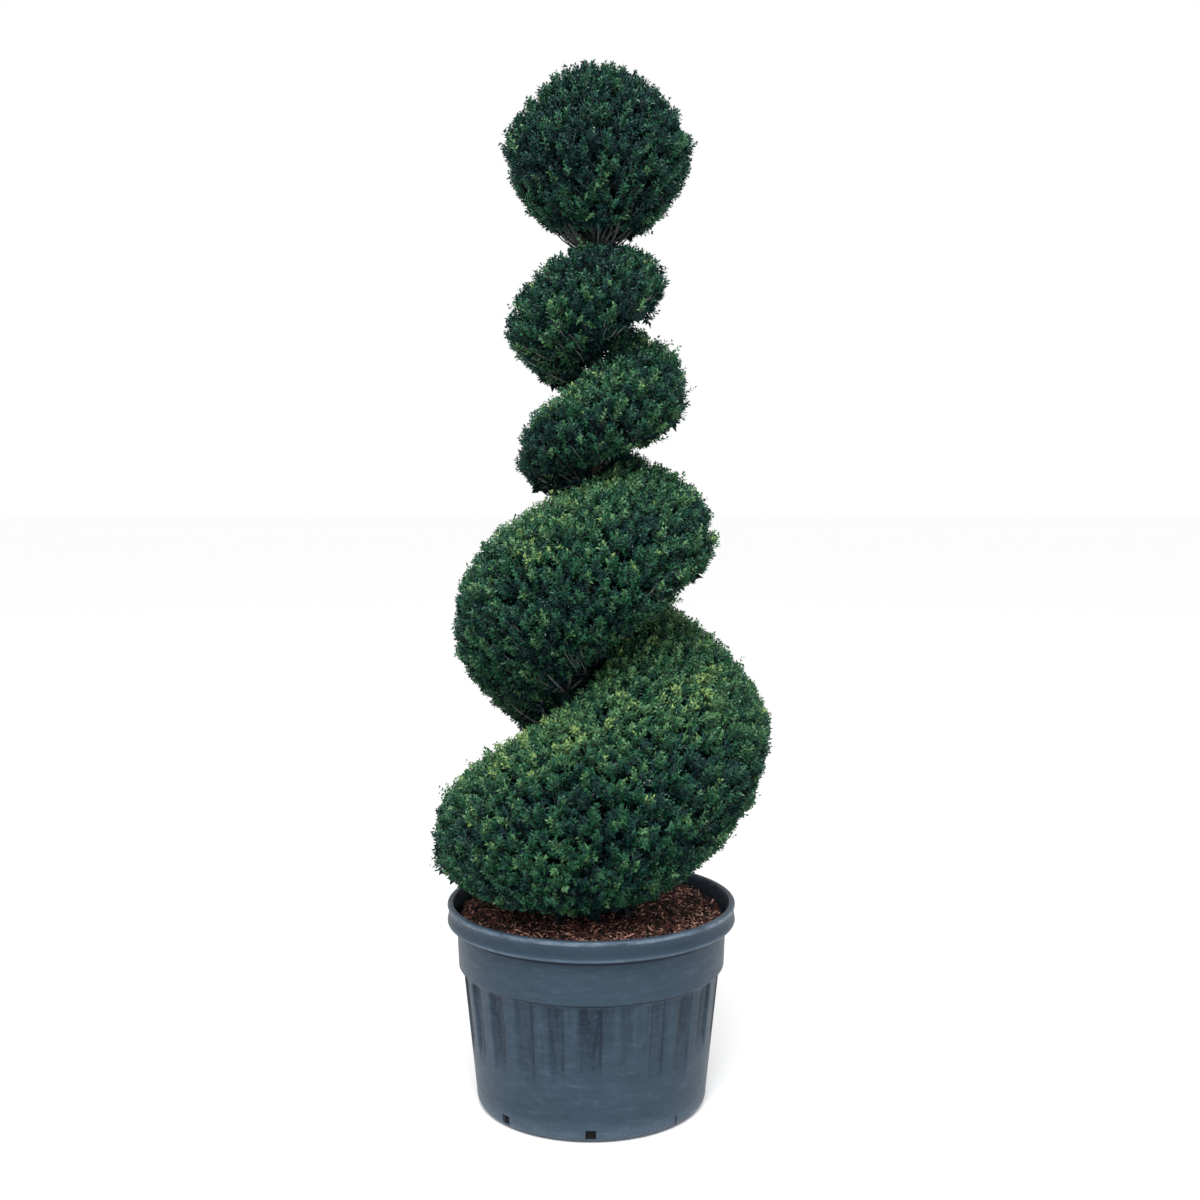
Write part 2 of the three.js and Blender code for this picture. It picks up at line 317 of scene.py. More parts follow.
def potProfile():
    # half of the pot cut through its middle, from the underside out, over the rim and down inside
    sizes = potSizes
    footRadius, wall, rounding = sizes["footRadius"], sizes["wall"], sizes["footRound"]
    outside = [(0, 0)] + arc((footRadius, rounding), rounding, -90, -8, 7)
    rows = sizes["bodyRows"]
    for row in range(rows + 1):
        share = row / rows
        outside.append(tuple(a + (b - a) * share for a, b in zip(sizes["bodyFoot"], sizes["bodyTop"])))
    bandRadius, bandFoot = sizes["bandFoot"]
    topRadius, bandTop = sizes["bandTop"]
    rounding = sizes["bandRound"]
    outside += arc((bandRadius - rounding, bandFoot + 0.001), rounding, -80, 0, 4)
    outside += [(topRadius, bandTop - rounding)]
    outside += arc((topRadius + rounding, bandTop), rounding, 180, 95, 4)
    reach, rimFoot, rimTop, hollow = (sizes[key] for key in ("rimReach", "rimFoot", "rimTop", "rimHollow"))
    atFoot, atEdge, atMouth = sizes["rimRounds"]
    outside += arc((reach - atFoot, rimFoot + atFoot), atFoot, -75, 10, 5)
    outside += [(reach - 0.6 * hollow, rimFoot + 0.011)]
    outside += [(reach - hollow, rimFoot + 0.019), (reach - hollow, rimFoot + 0.026)]
    outside += arc((reach - atEdge, rimTop - atEdge), atEdge, -25, 90, 8)
    outside += arc((sizes["mouth"] + atMouth, rimTop - atMouth), atMouth, 90, 180, 4)
    inside = [(sizes["mouth"] - 0.0020, rimTop - 0.018), (topRadius - wall, rimFoot - 0.004)]
    inside += [(bandRadius - wall, bandFoot), (sizes["bodyTop"][0] - wall, sizes["bodyTop"][1])]
    inside += [(sizes["bodyFoot"][0] - wall, sizes["bodyFoot"][1])]
    inside += [(footRadius, sizes["floor"]), (0, sizes["floor"])]
    return outside + inside


potRings = {  # fullness, height and sharpness of the rings of painted shade and painted highlight
    "underRim": (2.0, 0.3235, 480),
    "underBand": (1.4, 0.2482, 480),
    "bead": (1.4, 0.3615, 300),
    "lip": (1.2, 0.3325, 320),
    "face": (1.6, 0.3455, 150),
}


def potFinish():
    # worn blue-grey plastic, stained and darker in its flutes, dusty at the foot, with painted shade along
    # the flute edges, under the rim, under the band and on the rim's face, and painted highlights on the
    # bead and the lip
    finish = Finish("potPlastic", (0.03, 0.05, 0.075), 0.5, Specular_IOR_Level=0.16)
    hollow = finish.node("ShaderNodeAttribute", {"attribute_name": "hollow"}, output="Fac")
    # the line attribute holds painted shade along the flute edges
    line = finish.node("ShaderNodeAttribute", {"attribute_name": "line"}, output="Fac")
    place = finish.place()
    height = finish.node("ShaderNodeSeparateXYZ", values=[place], output="Z")
    streaks = finish.noise(finish.place((60, 60, 3.0)), 1.0, 5, 0.66)
    drips = finish.noise(finish.place((15, 15, 1.6)), 1.0, 3, 0.55)
    mottle = finish.noise(place, 150, 5, 0.8)
    clouds = finish.noise(place, 12, 5, 0.7)
    scuffs = finish.noise(finish.place((1, 1, 3.5)), 26, 6, 0.8)
    ring = {name: (full - abs(height - at) * sharp).clamp() for name, (full, at, sharp) in potRings.items()}
    dripping = ((height - 0.09) * 9).clamp() * (1 - (height - 0.2465) * 900).clamp()
    stains = ((streaks - 0.47) * 5).clamp() * dripping * 0.45
    stains = stains + ((drips - 0.52) * 6).clamp() * dripping * 0.25
    # real stains, darker flutes, and painted shade along the flute edges
    grimeAndShade = stains + hollow * (0.30 + 2.0 * (mottle - 0.45) + 0.9 * (streaks - 0.42)) + 0.75 * line
    # painted shadow under the rim and painted shade under the band's edge
    grimeAndShade = grimeAndShade + ring["underRim"] + 0.85 * ring["underBand"]
    # painted shade on the rim's face, which tilts down, mottled by the scuffs
    grimeAndShade = grimeAndShade + ring["face"] * (0.34 + 2.5 * (scuffs - 0.5))
    grimeAndShade = grimeAndShade + ((height - 0.250) * 200).clamp() * (0.09 + 0.8 * (clouds - 0.5))
    grimeAndShade = grimeAndShade + ((0.50 - scuffs) * 5).clamp() * 0.3 + ((mottle - 0.60) * 3).clamp() * 0.2
    dustAndHighlight = ((0.040 - height) * 30).clamp() * 0.4 + ((scuffs - 0.53) * 5).clamp() * 0.3
    # painted highlights along the rim's bead and on its lower lip, mottled by the scuffs
    dustAndHighlight = dustAndHighlight * (mottle * 1.6 - 0.1) + ring["bead"] * (0.5 + 3 * (scuffs - 0.5))
    dustAndHighlight = dustAndHighlight + 0.6 * ring["lip"] * scuffs
    darker, lighter = (0.0215, 0.040, 0.062, 1), (0.0295, 0.053, 0.079, 1)
    worn = finish.blend((clouds * 1.6 - 0.3).clamp(), darker, lighter)
    # the pale blue-grey is real dust at the foot and in the scuffs, and painted highlight on the bead and
    # lip
    dustedAndHighlit = finish.blend(dustAndHighlight.clamp(), worn, (0.150, 0.200, 0.260, 1))
    # the near-black is real stain and grime, and painted shade under the rim and band, on the rim's face and
    # along the flute edges
    finish.feed("Base Color", finish.blend(grimeAndShade.clamp(), dustedAndHighlit, (0.008, 0.016, 0.028, 1)))
    finish.feed("Roughness", 0.34 + 0.22 * mottle + 0.12 * grimeAndShade)
    finish.bump(mottle + 0.8 * streaks + 0.5 * clouds, 0.3, 0.0012)
    return finish


def shapeFlutes(bm, pick):
    # sinks the flutes into the body, and records how deep each point lies, which darkens the flutes, and the
    # painted shade lines along their edges
    hollow = bm.verts.layers.float.new("hollow")
    # line holds painted shade along one edge or the other of each flute
    line = bm.verts.layers.float.new("line")
    count = potSizes["flutes"]
    (footRadius, foot), (topRadius, top) = potSizes["bodyFoot"], potSizes["bodyTop"]
    lengths = pick.uniform(*potSizes["fluteLength"], count)
    shares = pick.uniform(*potSizes["fluteShare"], count)
    strengths = pick.choice([0.15, 0.5, 0.8, 1.0, 1.0], count)
    shadeLines = pick.choice([0, 0.3, 0.7, 1.0], (count, 2))
    for vert in bm.verts:
        radius = math.hypot(vert.co.x, vert.co.y)
        bodyRadius = footRadius + (topRadius - footRadius) * (vert.co.z - foot) / (top - foot)
        if radius < bodyRadius - 0.002 or not foot < vert.co.z < potSizes["fluteTop"]:
            continue
        turn = (math.atan2(vert.co.y, vert.co.x) / tau * count + 0.5) % count
        flute = int(turn)
        fromMiddle = abs(turn - flute - 0.5) * 2
        edge = min(max((shares[flute] - fromMiddle) / potSizes["fluteEdge"] + 0.5, 0), 1)
        below = potSizes["fluteTop"] - vert.co.z
        fade = min(max((lengths[flute] + potSizes["fluteFade"] - below) / potSizes["fluteFade"], 0), 1)
        depth = edge * edge * (3 - 2 * edge) * fade * fade * (3 - 2 * fade) * strengths[flute]
        vert[hollow] = depth
        side = int(turn - flute > 0.5)
        near = max(1 - abs(shares[flute] - fromMiddle) / potSizes["fluteShadeLine"], 0)
        vert[line] = near * fade * shadeLines[flute, side]
        scale = 1 - potSizes["fluteDepth"] * depth / radius
        vert.co.x *= scale
        vert.co.y *= scale


def cutDrains(piece):
    # square holes through the wall, just over the foot
    bm = bmesh.new()
    height = potSizes["drainFoot"] + potSizes["drainSize"][2] / 2
    for number in range(potSizes["drains"]):
        size = Vector(potSizes["drainSize"])
        if number == potSizes["shutDrain"]:
            size.y = potSizes["shutWidth"]
        turned = Matrix.Rotation(tau * number / potSizes["drains"] - math.pi / 2, 4, "Z")
        middle = Matrix.Translation((potSizes["bodyFoot"][0] - potSizes["wall"], 0, height))
        bmesh.ops.create_cube(bm, size=1, matrix=turned @ middle @ Matrix.Diagonal((*size, 1)))
    mesh = bpy.data.meshes.new("drainCutter")
    bm.to_mesh(mesh)
    bm.free()
    cutter = bpy.data.objects.new("drainCutter", mesh)
    bpy.context.collection.objects.link(cutter)
    cut = piece.modifiers.new("drains", "BOOLEAN")
    cut.object = cutter
    cut.operation = "DIFFERENCE"
    cut.solver = "EXACT"
    bpy.context.view_layer.update()
    shaped = bpy.data.meshes.new_from_object(piece.evaluated_get(bpy.context.evaluated_depsgraph_get()))
    piece.modifiers.clear()
    piece.data = shaped
    bpy.data.objects.remove(cutter)


def makePot():
    bm = bmesh.new()
    verts = [bm.verts.new((radius, 0, z)) for radius, z in potProfile()]
    edges = [bm.edges.new(pair) for pair in zip(verts, verts[1:])]
    around = {"axis": (0, 0, 1), "cent": (0, 0, 0), "angle": tau, "steps": potSizes["columns"]}
    bmesh.ops.spin(bm, geom=verts + edges, use_merge=True, **around)
    bmesh.ops.remove_doubles(bm, verts=bm.verts, dist=1e-5)
    shapeFlutes(bm, np.random.default_rng(potSizes["fluteSeed"]))
    nubPlace = (0, -potSizes["rimReach"] + potSizes["nubSunk"], potSizes["rimTop"] - potSizes["nubBelow"])
    squashed = Matrix.Translation(nubPlace) @ Matrix.Diagonal((*potSizes["nubShape"], 1))
    bmesh.ops.create_uvsphere(bm, u_segments=12, v_segments=8, radius=potSizes["nubRadius"], matrix=squashed)
    bmesh.ops.recalc_face_normals(bm, faces=bm.faces)
    piece = addPiece("potShell", bm, potFinish())
    cutDrains(piece)
    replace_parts(piece, "pot")


makePot()
print("pot made")

# Soil and bark mulch

mulch = {
    "chips": 9500,
    "reach": 0.2335,
    "long": (0.007, 0.0220),
    "wide": (0.0012, 0.0031),
    "thick": (0.0008, 0.0019),
    "taper": 0.75,
    "unevenness": 0.12,
    "bow": 0.14,
    "tilt": 0.36,
    "roll": 0.3,
    "heap": 0.0042,
    "lumps": 0.06,
    "sunk": 0.004,  # how far the lowest chips lie in the soil
}


def soilFinish():
    # painted shade: black low down, where the soil shows through the drain holes, and brown crumbs on top
    finish = Finish("pottingSoil", (0.02, 0.011, 0.009), 0.95)
    place = finish.place()
    crumbs = finish.noise(place, 260, 4, 0.7)
    height = finish.node("ShaderNodeSeparateXYZ", values=[place], output="Z")
    crumbled = finish.ramp(crumbs, [(0.35, (0.008, 0.005, 0.004)), (0.7, (0.060, 0.027, 0.019))])
    # below its top the soil is painted black as shade
    onTop = ((height - 0.3) * 40).clamp()
    finish.feed("Base Color", finish.blend(onTop, (0.001, 0.001, 0.001, 1), crumbled))
    finish.bump(crumbs, 0.8, 0.004)
    return finish


def makeMulch(pick):
    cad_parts["soil"].data.materials.clear()
    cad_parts["soil"].data.materials.append(soilFinish().material)
    finishes = {
        "mulch_dark": (Finish("barkDark", (0.011, 0.006, 0.006), 0.9), 0.44),
        "mulch_red": (Finish("barkRed", (0.135, 0.047, 0.036), 0.85), 0.37),
        "mulch_pale": (Finish("barkPale", (0.610, 0.330, 0.255), 0.85), 0.15),
    }
    corners = np.array([(x, y, z) for x in (-0.5, 0.5) for y in (-0.5, 0.5) for z in (-0.5, 0.5)])
    sides = np.array([(0, 1, 3, 2), (4, 6, 7, 5), (0, 4, 5, 1), (2, 3, 7, 6), (0, 2, 6, 4), (1, 5, 7, 3)])
    for name, (finish, share) in finishes.items():
        count = int(mulch["chips"] * share)
        size = np.stack([pick.uniform(*mulch[key], count) for key in ("long", "wide", "thick")], axis=1)
        size[:, 0] *= pick.uniform(0.5, 1, count)
        taper = 1 - pick.uniform(0, mulch["taper"], (count, 1)) * (corners[None, :, 0] > 0)
        shape = corners[None] * size[:, None, :]
        shape[:, :, 1] *= taper
        shape += pick.normal(scale=mulch["unevenness"], size=shape.shape) * size[:, None, :].clip(max=0.004)
        bow = pick.uniform(-mulch["bow"], mulch["bow"], (count, 1)) * size[:, :1]
        shape[:, :, 1] += bow * (2 * corners[None, :, 0]) ** 2
        turn = pick.uniform(0, tau, count)
        tilt = pick.normal(scale=mulch["tilt"], size=count)
        along = unit(np.stack([np.cos(turn), np.sin(turn), tilt], axis=1))
        side = unit(np.cross(upward + pick.normal(scale=mulch["roll"], size=(count, 3)), along))
        lift = np.cross(along, side)
        axes = np.stack([along, side, lift], axis=1)
        radius = mulch["reach"] * np.sqrt(pick.uniform(0.0, 1, count)) - 0.3 * size[:, 0]
        angle = pick.uniform(0, tau, count)
        height = np.full(count, soilTop - mulch["sunk"])
        centre = np.stack([radius * np.cos(angle), radius * np.sin(angle), height], axis=1)
        centre[:, 2] += mulch["heap"] * (0.6 * waves(centre, mulch["lumps"], 8) + pick.uniform(0, 1, count))
        points = centre[:, None, :] + np.einsum("nck,nkj->ncj", shape, axes)
        faces = (np.arange(count)[:, None, None] * 8 + sides[None]).reshape(-1, 4)
        piece = addJoined(name, points.reshape(-1, 3), faces, finish)


makeMulch(np.random.default_rng(7))
print("mulch spread")

# Trunk and the stems under the ball, with their bark

bark = {
    "trunkSides": 32,
    "trunkRows": 110,
    "stemSides": 10,
    "stemRows": 12,
    "relief": 0.0016,
    "ridges": ((1, 3.1, 7), (0.6, 9, 16)),  # strength, then how close across and along
    "crowding": 1.25,  # draws the trunk's rows together at its foot
    "stemRadius": (0.0044, 0.0024),
    "stemOn": 0.045,  # how far a stem grows on into the ball
}


def barkFinish(name, dark, pale):
    finish = Finish(name, dark, 0.85)
    fibres = finish.noise(finish.place((1, 1, 0.14)), 420, 5, 0.65)
    blotches = finish.noise(finish.place(), 60, 3, 0.5)
    share = (fibres * 0.75 + blotches * 0.5 - 0.3).clamp()
    finish.feed("Base Color", finish.ramp(share, [(0.15, dark), (0.75, pale)]))
    finish.bump(fibres, 0.6, 0.0015)
    return finish


def growLimb(bm, path, radii, sides):
    # a grid rolled up along the path, with ridges along it
    rows = len(path) - 1
    for vert in bmesh.ops.create_grid(bm, x_segments=sides, y_segments=rows, size=1)["verts"]:
        row = round((vert.co.y + 1) / 2 * rows)
        angle = math.pi * (vert.co.x + 1)
        ahead = path[min(row + 1, rows)] - path[max(row - 1, 0)]
        around = Vector((math.cos(angle), math.sin(angle), 0))
        height = path[row].z
        ridge = 0
        for strength, across, along in bark["ridges"]:
            ridge += strength * noise.noise(Vector((around.x * across, around.y * across, height * along)))
        radius = radii[row] + bark["relief"] * ridge * min(1, radii[row] / 0.02)
        vert.co = path[row] + Vector((0, 0, 1)).rotation_difference(ahead) @ around * radius


def addLimbs(name, bm, finish):
    bmesh.ops.remove_doubles(bm, verts=bm.verts, dist=1e-6)
    bmesh.ops.holes_fill(bm, edges=[edge for edge in bm.edges if edge.is_boundary])
    bmesh.ops.recalc_face_normals(bm, faces=bm.faces)
    piece = addPiece(name, bm, finish)
    return piece


def stemPath(name):
    # a stem's middle line through the solid, and on into the ball
    points, _ = nodeArrays(name)
    away = reachOf(points)
    near, far = np.percentile(away, [4, 96])
    line = []
    for target in np.linspace(near, far, 5):
        weights = np.exp(-(((away - target) / (0.14 * (far - near))) ** 2))
        line.append((points * weights[:, None]).sum(axis=0) / weights.sum())
    line.append(line[-1] + bark["stemOn"] * unit(line[-1] - line[-2] + 0.01 * upward))
    line.insert(0, axisAt(line[0][2] - 0.006))
    line = np.array(line)
    rows = np.linspace(0, len(line) - 1, bark["stemRows"])
    return [Vector([np.interp(row, range(len(line)), line[:, axis]) for axis in range(3)]) for row in rows]


def makeTrunk():
    bm = bmesh.new()
    rows = bark["trunkRows"]
    heights = soilTop + (trunkTop - soilTop) * (np.arange(rows) / (rows - 1)) ** bark["crowding"]
    growLimb(bm, [Vector(place) for place in axisAt(heights)], trunkRadiusAt(heights), bark["trunkSides"])
    finish = barkFinish("trunkBark", (0.018, 0.015, 0.014), (0.085, 0.074, 0.067))
    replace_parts(addLimbs("barkTrunk", bm, finish), "trunk")


def makeStems():
    bm = bmesh.new()
    radii = np.linspace(*bark["stemRadius"], bark["stemRows"])
    for name in stemNames:
        growLimb(bm, stemPath(name), radii, bark["stemSides"])
    finish = barkFinish("stemBark", (0.045, 0.042, 0.042), (0.17, 0.155, 0.15))
    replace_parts(addLimbs("barkStems", bm, finish), *stemNames)


makeTrunk()
makeStems()
print("trunk and stems made")

# The crown's outer skin, read from the foliage solids

crown = {
    "seed": 11,
    "candidates": 125000,
    "spacing": 0.0059,
    "shoots": 28500,
    "creaseRoom": 0.006,  # no shoots where another turn is closer than this
    "trunkRoom": 0.008,
    "undersides": (0.6, 0.5),  # how fast undersides thin out, and the least that stays
    "highUndersides": 0.8,
    "inset": 0.0005,  # room for the leaves outside the tips
    "thinFrom": 1.15,  # the turns above this are thinner below
    "hemHeight": 0.06,
    "hemFullness": 0.90,
    "hemThinning": 0.45,  # on the side where the ball's hem lets the sky through
    "hemSide": (0.93, -0.37),
    "skirtHeight": 0.045,  # the lowest foliage, over the soil
    "skirtFullness": 0.7,
    "tuftGap": 0.0165,
    "tuftTall": 2.5,  # how much taller than wide a tuft is
    "tuftPull": 0.24,
    "tuftDepth": 0.0120,
    "tuftUneven": 0.0045,
    "pocketSize": 0.024,
    "pocketDepth": 0.030,
    "pocketFrom": 1.0,
    "raggedness": 0.0028,
    "strays": 0.006,  # share of shoots that stand proud
    "strayReach": 0.009,
}


def crownSkin():
    points, triangles, owners = [], [], []
    for number, name in enumerate(foliageNames):
        nodePoints, nodeTriangles = nodeArrays(name)
        triangles.append(nodeTriangles + sum(len(each) for each in points))
        points.append(nodePoints)
        owners.append(np.full(len(nodeTriangles), number))
    points, triangles, owners = (np.concatenate(each) for each in (points, triangles, owners))
    corners = points[triangles]
    cross = np.cross(corners[:, 1] - corners[:, 0], corners[:, 2] - corners[:, 0])
    middle = corners.mean(axis=1)
    onCut = (np.abs(unit(cross)[:, 1]) > 0.97) & (np.abs(corners[:, :, 1]).max(axis=1) < 0.001)
    atTrunk = reachOf(middle) < trunkRadiusAt(middle[:, 2]) + 0.004
    kept = ~onCut & ~atTrunk
    seam = points.copy()
    seam[np.abs(seam[:, 1]) < 0.0006, 1] = 0  # the halves of a turn share one smooth skin
    _, shared = np.unique(np.round(seam, 4), axis=0, return_inverse=True)
    shared = shared.ravel()
    normals = np.zeros((shared.max() + 1, 3))
    for corner in range(3):
        np.add.at(normals, shared[triangles[kept, corner]], cross[kept])
    return {
        "corners": corners[kept],
        "normals": unit(normals)[shared[triangles[kept]]],
        "areas": 0.5 * np.linalg.norm(cross[kept], axis=1),
        "owners": owners[kept],
        "solid": BVHTree.FromPolygons(points.tolist(), triangles.tolist()),
    }


def placeShoots(pick):
    skin = crownSkin()
    areas = skin["areas"]
    chosen = pick.choice(len(areas), size=crown["candidates"], p=areas / areas.sum())
    first, second = pick.random((2, len(chosen)))
    over = first + second > 1
    first[over], second[over] = 1 - first[over], 1 - second[over]
    weights = np.stack([1 - first - second, first, second], axis=1)[:, :, None]
    points = (skin["corners"][chosen] * weights).sum(axis=1)
    normals = unit((skin["normals"][chosen] * weights).sum(axis=1))
    owners = skin["owners"][chosen]
    taken = spreadOut(points, crown["spacing"])
    points, normals, owners = points[taken], normals[taken], owners[taken]
    free = reachOf(points) > trunkRadiusAt(points[:, 2]) + crown["trunkRoom"]
    for i in np.flatnonzero(free):
        start = Vector(points[i] + normals[i] * 0.0015)
        free[i] = skin["solid"].ray_cast(start, Vector(normals[i]), crown["creaseRoom"])[0] is None
    thinning, least = crown["undersides"]
    fullness = np.clip(1 + thinning * np.minimum(normals[:, 2] + 0.2, 0), least, 1)
    fullness[(normals[:, 2] < -0.3) & (points[:, 2] > crown["thinFrom"])] *= crown["highUndersides"]
    onHem = (points[:, 2] > ballFoot) & (points[:, 2] < ballFoot + crown["hemHeight"])
    toSide = (unit(points * [1, 1, 0])[:, :2] @ crown["hemSide"]).clip(0, 1)
    fullness[onHem] = crown["hemFullness"] - crown["hemThinning"] * toSide[onHem]
    fullness[points[:, 2] < soilTop + crown["skirtHeight"]] *= crown["skirtFullness"]
    free &= pick.random(len(points)) < fullness
    places = np.flatnonzero(free)[: crown["shoots"]]
    print("skin of", round(float(areas.sum()), 2), "m2,", free.sum(), "free places,", len(places), "used")
    return points[places], normals[places], owners[places]


pick = np.random.default_rng(crown["seed"])
shootPoints, shootNormals, shootOwners = placeShoots(pick)

# Branching: shoots spring from forks, forks from branches, branches from boughs, boughs from the trunk

growth = {
    "shootLength": (0.026, 0.044),
    "upward": 0.42,
    "outward": 0.44,
    "fan": 0.70,
    "scatter": 0.22,
    "leastOutward": 0.3,
    "steepness": 0.7,  # how far down the trunk a bough springs, as a share of its reach
    "lowest": 0.012,  # of the roots of the boughs, over the soil
    "neck": 1.548,  # where the ball's stems spring
    "neckSlope": 0.22,
    "sagging": 0.8,
    "forkGap": 0.020,
    "branchGap": 0.038,
    "branchBack": (0.026, 0.046),
    "boughGap": 0.085,
    "boughBack": 0.45,
    "fanStems": 110,
    "fanReach": (0.028, 0.088),
    "fanLift": 0.015,  # how far the fan's tips lie above the lower skin
    "fanSlope": 0.50,
    "underStems": 260,
    "underFrom": 0.80,  # below this height no stems show
    "underSlope": 0.5,
    "underShare": (0.5, 0.75),  # of the way from the trunk, where a stem starts to show
    "underSink": (0.005, 0.014),
}


def rootsOf(points, steepness):
    # the place on the trunk that a point's branch climbs from
    reach = reachOf(points)
    heights = np.maximum(points[:, 2] - steepness * reach, soilTop + growth["lowest"])
    inBall = points[:, 2] > ballFoot - 0.002
    heights[inBall] = np.minimum(heights[inBall], growth["neck"] + growth["neckSlope"] * reach[inBall])
    return axisAt(heights)


def aimShoots():
    count = len(shootPoints)
    fan = unit(shootPoints - rootsOf(shootPoints, growth["steepness"]))
    heading = growth["fan"] * fan + growth["outward"] * shootNormals + growth["upward"] * upward
    heading = unit(heading + growth["scatter"] * pick.normal(size=(count, 3)))
    outward = (heading * shootNormals).sum(axis=1)
    heading = unit(heading + shootNormals * np.maximum(growth["leastOutward"] - outward, 0)[:, None])
    drawnUp = shootPoints * [1, 1, 1 / crown["tuftTall"]]
    middles = spreadOut(drawnUp, crown["tuftGap"])
    tuftOf = nearestOf(drawnUp, drawnUp[middles])
    fromMiddle = np.linalg.norm(drawnUp[middles][tuftOf] - drawnUp, axis=1) / crown["tuftGap"]
    depth = -crown["inset"] - crown["tuftDepth"] * np.clip(fromMiddle / 0.8, 0, 1.3) ** 2
    depth -= pick.uniform(0, crown["tuftUneven"], len(tuftOf))[tuftOf]
    depth -= np.abs(pick.normal(size=count)) * crown["raggedness"]
    pocket = waves(drawnUp, crown["pocketSize"], 9)
    depth -= crown["pocketDepth"] * np.clip(-pocket - crown["pocketFrom"], 0, 0.5)
    stray = pick.random(count) < crown["strays"]
    depth[stray] = pick.uniform(0.2, 1, stray.sum()) * crown["strayReach"]
    pull = crown["tuftPull"] * (shootPoints[middles][tuftOf] - shootPoints)
    tips = shootPoints + pull + shootNormals * depth[:, None]
    length = pick.uniform(*growth["shootLength"], count)
    starts = tips - heading * length[:, None]
    return starts, tips, depth, tuftOf


def branchOut(starts, owners):
    # for each foliage solid: forks gathered from the shoots, then branches, then boughs
    forkOf = np.empty_like(starts)
    limbs = {"forks": [], "branches": [], "boughs": []}
    for owner in range(len(foliageNames)):
        mine = np.flatnonzero(owners == owner)
        if len(mine) == 0:
            continue
        forks = starts[mine][spreadOut(starts[mine], growth["forkGap"])]
        forkOf[mine] = forks[nearestOf(starts[mine], forks)]
        back = unit(forks - rootsOf(forks, growth["steepness"]))
        inner = forks - back * pick.uniform(*growth["branchBack"], (len(forks), 1))
        nodes = inner[spreadOut(inner, growth["branchGap"])]
        nodeOf = nodes[nearestOf(forks, nodes)]
        roots = rootsOf(nodes, growth["steepness"])
        deep = nodes + (roots - nodes) * growth["boughBack"]
        boughs = deep[spreadOut(deep, growth["boughGap"])]
        boughOf = boughs[nearestOf(nodes, boughs)]
        limbs["forks"].append(np.stack([nodeOf, forks], axis=1))
        limbs["branches"].append(np.stack([boughOf, nodes], axis=1))
        limbs["boughs"].append(np.stack([rootsOf(boughs, growth["steepness"] * 0.8), boughs], axis=1))
    return forkOf, {name: np.concatenate(pairs) for name, pairs in limbs.items()}


def sweepLimbs(starts, ends, startRadius, endRadius, sides, rows, sag):
    # tapering round limbs, bowed a little, closed at the foot and pointed at the tip
    count = len(starts)
    length = np.linalg.norm(ends - starts, axis=1)[:, None]
    bow = sag * length * unit(pick.normal(size=(count, 3)) - growth["sagging"] * upward)
    share = np.linspace(0, 1, rows)[None, :, None]
    line = starts[:, None] * (1 - share) + ends[:, None] * share + 4 * share * (1 - share) * bow[:, None]
    along = unit(ends - starts)
    helper = np.where(np.abs(along[:, 2:3]) < 0.9, upward, np.array([1.0, 0, 0]))
    sideways = unit(np.cross(along, helper))
    across = np.cross(along, sideways)
    angle = np.arange(sides) * tau / sides
    ring = np.cos(angle)[None, :, None] * sideways[:, None] + np.sin(angle)[None, :, None] * across[:, None]
    radius = startRadius + (endRadius - startRadius) * share
    tube = line[:, :-1, None, :] + ring[:, None] * radius[:, :-1, :, None]
    points = np.concatenate([tube.reshape(count, -1, 3), line[:, -1:]], axis=1)
    faces = []
    for row in range(rows - 2):
        for i in range(sides):
            a, b = row * sides + i, row * sides + (i + 1) % sides
            faces += [(a, a + sides, b), (b, a + sides, b + sides)]
    last = (rows - 2) * sides
    faces += [(last + i, (rows - 1) * sides, last + (i + 1) % sides) for i in range(sides)]
    faces += [(0, i, i + 1) for i in range(1, sides - 1)]
    perLimb = (rows - 1) * sides + 1
    joined = np.arange(count)[:, None, None] * perLimb + np.array(faces)[None]
    return points.reshape(-1, 3), joined.reshape(-1, 3)


def neckFan():
    # thin stems that spread from the neck along the inside of the ball's lower skin
    count = growth["fanStems"]
    angle = (np.arange(count) + pick.uniform(-0.4, 0.4, count)) * tau * 0.382
    reach = pick.uniform(*growth["fanReach"], count)
    low = shootPoints[shootOwners == foliageNames.index("foliage_ball")]
    low = low[low[:, 2] < ballFoot + 0.10]
    skinReach = reachOf(low)
    order = np.argsort(skinReach)
    height = np.interp(reach, skinReach[order], low[order, 2]) + growth["fanLift"]
    roots = axisAt(growth["neck"] - growth["fanSlope"] * reach)
    outward = np.stack([np.cos(angle), np.sin(angle), np.zeros(count)], axis=1)
    ends = axisAt(height) * [1, 1, 0] + outward * reach[:, None] + height[:, None] * upward
    return np.stack([roots + outward * 0.005, ends], axis=1)


def underStems():
    # pale thin stems that show through the thinner undersides of the turns
    height = shootPoints[:, 2]
    low = (shootNormals[:, 2] < -0.2) & (height > growth["underFrom"]) & (height < ballFoot)
    chosen = pick.choice(np.flatnonzero(low), growth["underStems"], replace=False)
    ends = shootPoints[chosen] - shootNormals[chosen] * pick.uniform(*growth["underSink"], (len(chosen), 1))
    roots = rootsOf(ends, growth["underSlope"])
    shown = pick.uniform(*growth["underShare"], (len(chosen), 1))
    return np.stack([roots + (ends - roots) * shown, ends], axis=1)


